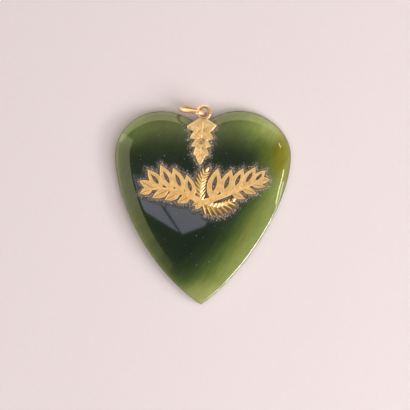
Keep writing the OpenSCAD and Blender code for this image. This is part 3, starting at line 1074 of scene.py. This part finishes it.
def rivet_finish():
    """Reddish worn metal with dimples from the hammer."""
    metal = Finish("rivet_copper", Metallic=1.0, IOR=METAL_IOR)
    inputs = {"Vector": metal.place, "Scale": 3200.0, "Smoothness": 0.6}
    dents = metal.add("ShaderNodeTexVoronoi", {"feature": "SMOOTH_F1"}, inputs)
    grime = metal.noise(4200.0)
    colour = metal.mix(grime.rise(0.42, 0.68), (0.95, 0.60, 0.42), (0.55, 0.30, 0.18))
    rough = 0.5 + (grime - 0.5) * 0.4
    bump = metal.bump(0.8, 0.06, dents)
    return metal.feed(Base_Color=colour, Roughness=rough.clamp(), Normal=bump)


frond_gold, wire_gold = frond_finish(), wire_gold_finish()
for piece, finish in (
    (spray, gold_finish("satin_gold", 0.6, 0.06, ((0.86, 0.52, 0.24), (0.99, 0.68, 0.345)))),
    (leaf, gold_finish("chased_gold", 0.55, 0.3, ((0.84, 0.53, 0.28), (1.0, 0.75, 0.46)))),
    (rivet, rivet_finish()),
):
    piece.data.materials.append(finish)
    print(piece.name, "is finished in", finish.name)

# %% [markdown]
# Geometry trees
#
# The same helper writes geometry trees. A tree gets named inputs, so that one tree can make
# both ferns. Once it has run, its shape is turned into a plain mesh and the modifier goes.

# %% Running a geometry tree
def geometry_tree(name, inputs):
    """A new geometry tree and a wire for each input. inputs lists the names of each kind."""
    group = bpy.data.node_groups.new(name, "GeometryNodeTree")
    for kind, labels in inputs.items():
        for label in labels:
            group.interface.new_socket(label, in_out="INPUT", socket_type="NodeSocket" + kind)
    group.interface.new_socket("Geometry", in_out="OUTPUT", socket_type="NodeSocketGeometry")
    tree = Tree(group)
    entry = group.nodes.new("NodeGroupInput")
    return tree, {output.name: Wire(tree, output) for output in entry.outputs}


def joined(tree, shapes):
    """Several shapes as one."""
    whole = tree.add("GeometryNodeJoinGeometry")
    for shape in shapes:
        tree.link(shape, whole.socket.node.inputs[0])
    return whole


def object_shape(tree, wire):
    """The shape of an object that is given as an input."""
    return tree.add("GeometryNodeObjectInfo", None, {"Object": wire}, "Geometry")


def tube(tree, line, sides, radius, scale=1.0):
    """Round wire laid along a line."""
    circle = {"Resolution": sides, "Radius": radius}
    profile = tree.add("GeometryNodeCurvePrimitiveCircle", None, circle)
    inputs = {"Curve": line, "Profile Curve": profile, "Scale": scale, "Fill Caps": True}
    return tree.add("GeometryNodeCurveToMesh", None, inputs)


def end_tree(tree, shape, material=None):
    """Makes copies real, gives them their material, sends them out and returns the group."""
    shape = tree.add("GeometryNodeRealizeInstances", None, {"Geometry": shape})
    if material:
        shape = tree.add("GeometryNodeSetMaterial", None, {"Geometry": shape, "Material": material})
    tree.link(shape, tree.node_tree.nodes.new("NodeGroupOutput").inputs["Geometry"])
    return tree.node_tree


def run_tree(piece, group, values):
    """Runs a tree on a piece with values for its named inputs, and keeps the plain mesh."""
    modifier = piece.modifiers.new(group.name, "NODES")
    modifier.node_group = group
    for item in group.interface.items_tree:
        if item.in_out == "INPUT" and item.name in values:
            modifier[item.identifier] = values[item.name]
    plain_copy(piece)
    print(piece.name, "faces:", len(piece.data.polygons))


# %% Fern tree
POINTS_PER_PAIR, FIRST_POINT = 10, 6
FERN_LENGTHS = ["Left length", "Right length", "Leaflet width", "Leaflet height", "Rib radius"]
FERN_INPUTS = {
    "Object": ["Leaflet"],
    "Vector": ["Start", "Handle", "End"],
    "Int": ["Pairs"],
    "Float": ["Spread", *FERN_LENGTHS],
}


def fern_group():
    """Leaflets in pairs along a rib, one at its end, and the rib itself."""
    tree, wire = geometry_tree("fern", FERN_INPUTS)
    last = wire["Pairs"] * POINTS_PER_PAIR + FIRST_POINT
    ends = {"Start": wire["Start"], "Middle": wire["Handle"], "End": wire["End"]}
    line = tree.add("GeometryNodeCurveQuadraticBezier", None, {"Resolution": last, **ends})
    index = tree.add("GeometryNodeInputIndex")
    share = index / last
    pair = (index - FIRST_POINT) / POINTS_PER_PAIR
    on_pair = (pair - pair.math("ROUND")).math("ABSOLUTE").math("LESS_THAN", 0.01)
    before_end = (wire["Pairs"] - pair).math("GREATER_THAN", 0.5)
    arch = ((share * 0.7 + 0.3).math("MINIMUM", 1.0) * math.pi).math("SINE")
    size = arch * 0.4 + 0.6
    along_x, along_y, _ = tree.parts(tree.add("GeometryNodeInputTangent"))
    turn = along_y.math("ARCTAN2", along_x)
    shape = object_shape(tree, wire["Leaflet"])
    paired, at_end = on_pair * before_end, on_pair * (1 - before_end)
    shapes = []
    for sign, side, chosen in ((1, "Left", paired), (-1, "Right", paired), (0, "Left", at_end)):
        length = wire[side + " length"] * size
        sizes = {"X": length, "Y": wire["Leaflet width"], "Z": wire["Leaflet height"]}
        inputs = {
            "Points": line,
            "Selection": chosen,
            "Instance": shape,
            "Rotation": tree.add("ShaderNodeCombineXYZ", None, {"Z": turn + wire["Spread"] * sign}),
            "Scale": tree.add("ShaderNodeCombineXYZ", None, sizes),
        }
        shapes.append(tree.add("GeometryNodeInstanceOnPoints", None, inputs))
    shapes.append(tube(tree, line, 10, 1.0, wire["Rib radius"] * (1 - share * 0.55)))
    return end_tree(tree, joined(tree, shapes), frond_gold)


fern = fern_group()
LEAFLET_HEIGHT, FROND_RIB = 0.24, 0.24
FROND_BASE = SPRAY_TOP - LEAFLET_HEIGHT


def frond(name, rib, pairs, spread, left_length, right_length, width):
    """One fern with its leaflets at the CAD piece's places."""
    piece = mesh_piece(name, [(0, 0, 0)], [])
    places = [(p[0] * MM, p[1] * MM, FROND_BASE * MM) for p in rib]
    values = {"Leaflet": leaflet, "Pairs": pairs, "Spread": math.radians(spread)}
    values.update(zip(FERN_INPUTS["Vector"], places))
    lengths = (left_length, right_length, width, LEAFLET_HEIGHT, FROND_RIB)
    values.update(zip(FERN_LENGTHS, [length * MM for length in lengths]))
    run_tree(piece, fern, values)
    return piece


upright_fern = frond("spray_fern_upright", UPRIGHT_RIB, 8, 44, 2.1, 1.9, 0.74)
lying_fern = frond("spray_fern_lying", LYING_RIB, 7, 50, 1.6, 2.6, 0.95)
bpy.data.objects.remove(leaflet)

# %% [markdown]
# Wire rings
#
# The jump ring and the eye are bent from round wire. The jump ring is closed by hand, so its
# ends only meet: a fine cut stays, near the place where it passes through the eye. An arc
# that stops just short of a full turn gives that cut, and Curve to Mesh lays the wire along
# it.

# %% Ring tree
def ring_group():
    """A ring of round wire about the Z axis. Opening is the angle left at the cut."""
    labels = ["Radius", "Wire radius", "Opening", "Start"]
    tree, wire = geometry_tree("wire_ring", {"Float": labels})
    inputs = {
        "Resolution": 129,
        "Radius": wire["Radius"],
        "Start Angle": wire["Start"] + wire["Opening"] / 2,
        "Sweep Angle": 2 * math.pi - wire["Opening"],
    }
    arc = tree.add("GeometryNodeCurveArc", {"mode": "RADIUS"}, inputs)
    return end_tree(tree, tube(tree, arc, 28, wire["Wire radius"]), wire_gold)


ring_tree = ring_group()


def wire_ring(name, centre, radius, wire_radius, opening, start, turns=()):
    """A wire ring at its place, by turns about X or Z in degrees, first to last."""
    piece = mesh_piece(name, [(0, 0, 0)], [])
    values = {"Radius": radius * MM, "Wire radius": wire_radius * MM}
    run_tree(piece, ring_tree, {**values, "Opening": opening, "Start": math.radians(start)})
    points = np.zeros(len(piece.data.vertices) * 3)
    piece.data.vertices.foreach_get("co", points)
    points = points.reshape(-1, 3)
    way_out = points * (1, 1, 0) / np.linalg.norm(points[:, :2], axis=1)[:, None]
    on_wire = points - way_out * radius * MM
    store(piece, "inner", -(on_wire * way_out).sum(axis=1) / (wire_radius * MM))
    for axis, degrees in turns:
        c, s = math.cos(math.radians(degrees)), math.sin(math.radians(degrees))
        about = {"X": [[1, 0, 0], [0, c, -s], [0, s, c]], "Z": [[c, -s, 0], [s, c, 0], [0, 0, 1]]}
        points = points @ np.array(about[axis]).T
    piece.data.vertices.foreach_set("co", (points + np.array(centre) * MM).ravel())
    for polygon in piece.data.polygons:
        polygon.use_smooth = len(polygon.vertices) == 4
    piece.data.update()
    return piece


RING_R, RING_WIRE, RING_TURN, RING_LEAN = 2.74, 0.54, -8.8, 8
RING_CUT, CUT_AT = 0.02, 64
ring_z = RING_R * math.cos(math.radians(RING_LEAN)) + RING_WIRE + 0.02
ring_place, ring_turns = (-2.35, 21.93, ring_z), (("X", 90 + RING_LEAN), ("Z", RING_TURN))
jump_ring = wire_ring("jump_ring_wire", ring_place, RING_R, RING_WIRE, RING_CUT, CUT_AT, ring_turns)
EYE_R, EYE_WIRE = 1.315, 0.375
eye = wire_ring("leaf_eye", (0.27, 21.5, SEAT_Z + EYE_WIRE), EYE_R, EYE_WIRE, 0.0, -90)

# %% [markdown]
# The finish of the stone
#
# Nephrite is a felt of fine fibres. Where it is thick it looks almost black green, and
# towards thin edges light comes through and turns it yellow green; here that light is
# painted into the stone's colour. The mesh keeps how far each point is from the right flank
# and from the left one. A colour ramp reads the first, from a pale margin of painted light to
# a dark core, and the left flank and the top add a thinner veil of painted light. An olive
# patch at the right and a few other spots are soft ellipses; some of these spots are painted
# light too. Noise that is stretched along the grain, from lower left to upper right, breaks
# all of it into fibres.
#
# Round the gold, the polish stops short and old dust clings, so the stone is matt, brown and
# grainy there, and painted contact shade darkens the corner against the gold. For that the
# finish has to know how far the gold is. Geometry Proximity measures it at every point of the
# stone and stores it as an attribute.

# %% Distance to the gold
def nearness_group():
    """Stores on a mesh how far each point is from two other pieces."""
    pieces = ["First gold", "Second gold"]
    tree, wire = geometry_tree("nearness", {"Geometry": ["Geometry"], "Object": pieces})
    gold = joined(tree, [object_shape(tree, wire[label]) for label in pieces])
    faces = {"target_element": "FACES"}
    away = tree.add("GeometryNodeProximity", faces, {"Geometry": gold}, "Distance")
    settings = {"data_type": "FLOAT", "domain": "POINT"}
    inputs = {"Geometry": wire["Geometry"], "Name": "gold_mm", "Value": away / MM}
    return end_tree(tree, tree.add("GeometryNodeStoreNamedAttribute", settings, inputs))


run_tree(stone, nearness_group(), {"First gold": leaf, "Second gold": spray})

# %% Stone finish
STONE_IOR = 1.61
GRAIN_TURN, THREAD_TURN = 56, 61
VEIL_TOP, CORE_FROM = 19.9, 12
# from the pale margin, which is painted light, to the dark core
GREENS = [
    (0.12, (0.210, 0.248, 0.077)),
    (0.23, (0.178, 0.222, 0.055)),
    (0.35, (0.136, 0.178, 0.041)),
    (0.46, (0.077, 0.114, 0.025)),
    (0.60, (0.034, 0.058, 0.016)),
    (0.74, (0.017, 0.031, 0.011)),
    (0.95, (0.009, 0.018, 0.009)),
]
# centre, half sizes, turn, the noise that frays it and how far, its soft edge, share, colour
PATCHES = {
    "deep": ((15.2, 12.0), (3.0, 6.0), -4, "clouds", 0.3, (1.3, 0.4), 0.55, (0.085, 0.108, 0.012)),
    # the pale right rim is painted light coming through the thin edge
    "pale_right_rim": ((18.9, 13.0), (2.4, 7.6), -2, "clouds", 0.3, (1.3, 0.5), 0.8, (0.235, 0.225, 0.035)),
    "olive": ((17.1, 11.3), (1.7, 4.8), -8, "fibres", 0.7, (1.4, 0.3), 0.85, (0.158, 0.152, 0.010)),
    "dark_olive_band": ((16.3, 13.4), (0.8, 2.6), -24, "clouds", 0.5, (1.5, 0.2), 0.5, (0.095, 0.095, 0.006)),
    "streak": ((10, -5), (1.1, 7.4), -27, "strands", 1.2, (1.3, 0.2), 0.22, (0.235, 0.200, 0.052)),
}
# spots of painted light: centre, half sizes, turn, soft edge, colour
PAINTED_LIGHT_SPOTS = {
    "tip": ((-0.4, -21.5), (6.4, 5.6), 0, (1.1, 0.55), (0.060, 0.040, 0.026)),
    "left corner": ((-16.2, 16.8), (4.2, 3.6), 30, (1.2, 0.1), (0.019, 0.042, 0.004)),
    "right corner": ((15.4, 17.2), (4.0, 2.8), -40, (1.2, 0.2), (0.075, 0.070, 0.032)),
}


def zone(finish, centre, half_sizes, turn):
    """Distance from a place, 1 on an ellipse of those half sizes in mm."""
    sizes = (half_sizes[0] * MM, half_sizes[1] * MM, 1)
    moved = finish.moved(turn, sizes, (centre[0] * MM, centre[1] * MM, 0))
    flat = finish.add("ShaderNodeVectorMath", {"operation": "MULTIPLY"}, {0: moved, 1: (1, 1, 0)})
    return finish.add("ShaderNodeVectorMath", {"operation": "LENGTH"}, {0: flat}, output=1)


def body_green(nephrite):
    """Stone green: dark core, patches, fibres, and painted light in its pale margins and edges."""
    clouds, fine = nephrite.noise(170.0), nephrite.noise(700.0)
    grain_way = nephrite.moved(GRAIN_TURN, (7, 1, 3))
    fibres = nephrite.noise(900.0, detail=4.0, roughness=0.6, distortion=0.3, at=grain_way)
    strands = nephrite.noise(2300.0, roughness=0.6, at=grain_way)
    frays = {"clouds": clouds, "fibres": fibres, "strands": strands}
    x, y = [part / MM for part in nephrite.parts(nephrite.place)[:2]]
    right_mm, rim_mm = nephrite.kept("right_mm"), nephrite.kept("rim_mm")

    # painted light: the ramp's pale margin stands for light that comes through the thin stone
    right = right_mm + (clouds - 0.5) * 1.6 + (fibres - 0.5) * 1.8
    green = nephrite.ramp((right + 0.35) / CORE_FROM, GREENS)
    for centre, sizes, turn, fray, amount, soft, share, colour in PATCHES.values():
        patch = zone(nephrite, centre, sizes, turn) + (frays[fray] - 0.5) * amount
        green = nephrite.mix(patch.rise(*soft) * share, green, colour)
    thread_way = nephrite.moved(THREAD_TURN, (22, 1, 5))
    threads = nephrite.noise(2400.0, detail=1.0, at=thread_way).rise(0.62, 0.78)
    green = nephrite.mix(threads * right_mm.rise(6.0, 2.0) * 0.22, green, (0.33, 0.34, 0.15))

    # painted light: a glow in from the left flank and a veil down from the top
    left = nephrite.kept("left_mm") + (clouds - 0.5) * 0.8
    left_painted_glow = (left * -0.77).math("EXPONENT") * (y.rise(1.0, 11.0) * 0.35 + 0.8)
    below = (VEIL_TOP - y + (clouds - 0.5) * 1.6).math("MAXIMUM", 0.0)
    veil = (below * below * (-1 / 22)).math("EXPONENT") * (right.rise(1.0, 8.0) * 0.6 + 0.4)
    lit = [(veil, (0.100, 0.113, 0.038)), (left_painted_glow, (0.122, 0.156, 0.042))]
    for centre, sizes, turn, soft, colour in PAINTED_LIGHT_SPOTS.values():
        lit.append((zone(nephrite, centre, sizes, turn).rise(*soft), colour))
    lit.append((nephrite.kept("gold_mm").rise(5.0, 0.0), (0.006, 0.006, 0.007)))
    for share, colour in lit:
        green = nephrite.mix(share, green, colour, "ADD")

    # the colour turns greyer brown over the last 0.8 mm towards the rim
    worn = rim_mm + (fine - 0.5) * 0.3
    green = nephrite.mix(worn.rise(0.8, 0.1) * 0.35, green, (0.21, 0.19, 0.13))
    # painted shade: a thin dark line along the rim on the right side
    painted_rim_shade = rim_mm.rise(0.22, 0.1) * x.rise(-4.0, 4.0) * 0.8
    green = nephrite.mix(painted_rim_shade, green, (0.12, 0.105, 0.09))
    shade = 0.66 + fine * 0.28 + strands * 0.4
    return nephrite.add("ShaderNodeVectorMath", {"operation": "SCALE"}, {0: green, 3: shade})


def specks(finish, scale, size, chance, seed):
    """Round specks of dust. chance is the share of places that have one."""
    inputs = {0: finish.place, 1: (seed, seed, 0)}
    at = finish.add("ShaderNodeVectorMath", {"operation": "ADD"}, inputs)
    away, (pick, *_) = finish.cells(scale, at)
    return away.rise(size, size / 2) * (pick - 1 + chance).math("GREATER_THAN", 0.0)


def stone_finish():
    """Polished nephrite, dust specks, a matt brown halo and painted contact shade round the gold.
    """
    nephrite = Finish("nephrite", IOR=STONE_IOR)
    gold_mm = nephrite.kept("gold_mm")
    wander = (nephrite.noise(1300.0, detail=2.0) - 0.5) * 0.6
    away = gold_mm + wander
    film = away.rise(0.8, -0.1) * 0.5 + away.rise(1.6, 0.2) * 0.22
    grit = nephrite.noise(4600.0, roughness=0.75)
    film = (film * (grit.rise(0.38, 0.62) * 1.1 + 0.45)).clamp()
    dusty = nephrite.mix(away.rise(0.7, 0.05), (0.21, 0.165, 0.165), (0.62, 0.47, 0.41))
    film_tone = nephrite.mix(grit.rise(0.42, 0.62) * 0.85 + 0.15, (0.085, 0.055, 0.050), dusty)
    colour = nephrite.mix(film, body_green(nephrite), film_tone)
    _, (grain, tone, _) = nephrite.cells(7400.0)
    near = away.rise(0.8, 0.0) * 0.35 + away.rise(1.8, 0.2) * 0.19
    crumbs = (near - grain).rise(0.0, 0.08)
    dust_tone = nephrite.mix(tone.math("POWER", 1.5), (0.15, 0.105, 0.095), (0.80, 0.66, 0.58))
    colour = nephrite.mix(crumbs * 0.75, colour, dust_tone)
    # a brown line in the corner between the stone and the gold: dried polish, and painted contact
    # shade
    corner = (gold_mm + wander * 0.3).rise(0.42, 0.1)
    colour = nephrite.mix(corner * 0.75, colour, (0.105, 0.058, 0.030))

    close = gold_mm.rise(5.0, 0.5)
    large = specks(nephrite, 700.0, 0.11, close * 0.18 + 0.06, 0.1)
    small = specks(nephrite, 1500.0, 0.16, close * 0.45 + 0.1, 0.3)
    dust = (large + small * 0.8).clamp()
    colour = nephrite.mix(dust * 0.3, colour, (0.46, 0.47, 0.42))
    rough = 0.02 + (crumbs * 0.35 + film * 0.08).clamp() + dust * 0.4
    bumps = crumbs * (tone + 0.3) + film * grit * 0.3 + dust * 0.6
    bump = nephrite.bump(0.6, 0.06, bumps)
    return nephrite.feed(Base_Color=colour, Roughness=rough.clamp(), Normal=bump)


stone.data.materials.clear()
stone.data.materials.append(stone_finish())

# %% [markdown]
# Handing the pieces over
#
# Every piece rides on the pendant's one body, and the CAD piece that it stands for is
# hidden. The leaf and its eye are soldered, so they are joined into one piece.

# %% Join, ride and hide
def join(pieces, name):
    """Joins pieces into the first."""
    with bpy.context.temp_override(active_object=pieces[0], selected_editable_objects=pieces):
        bpy.ops.object.join()
    pieces[0].name = name
    return pieces[0]


leaf = join([leaf, eye], "leaf_bail_chased")

for piece, node, slot in (
    (stone, "heart_stone", "greenstone"),
    (leaf, "leaf_bail", "gold"),
    (rivet, "leaf_rivet", "rivet_metal"),
    (jump_ring, "jump_ring", "gold"),
    (spray, "spray_plate", "gold"),
    (upright_fern, "spray_plate", "gold"),
    (lying_fern, "spray_plate", "gold"),
):
    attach(piece, "root")
    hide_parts(node)
    print(piece.name, "stands for", node)
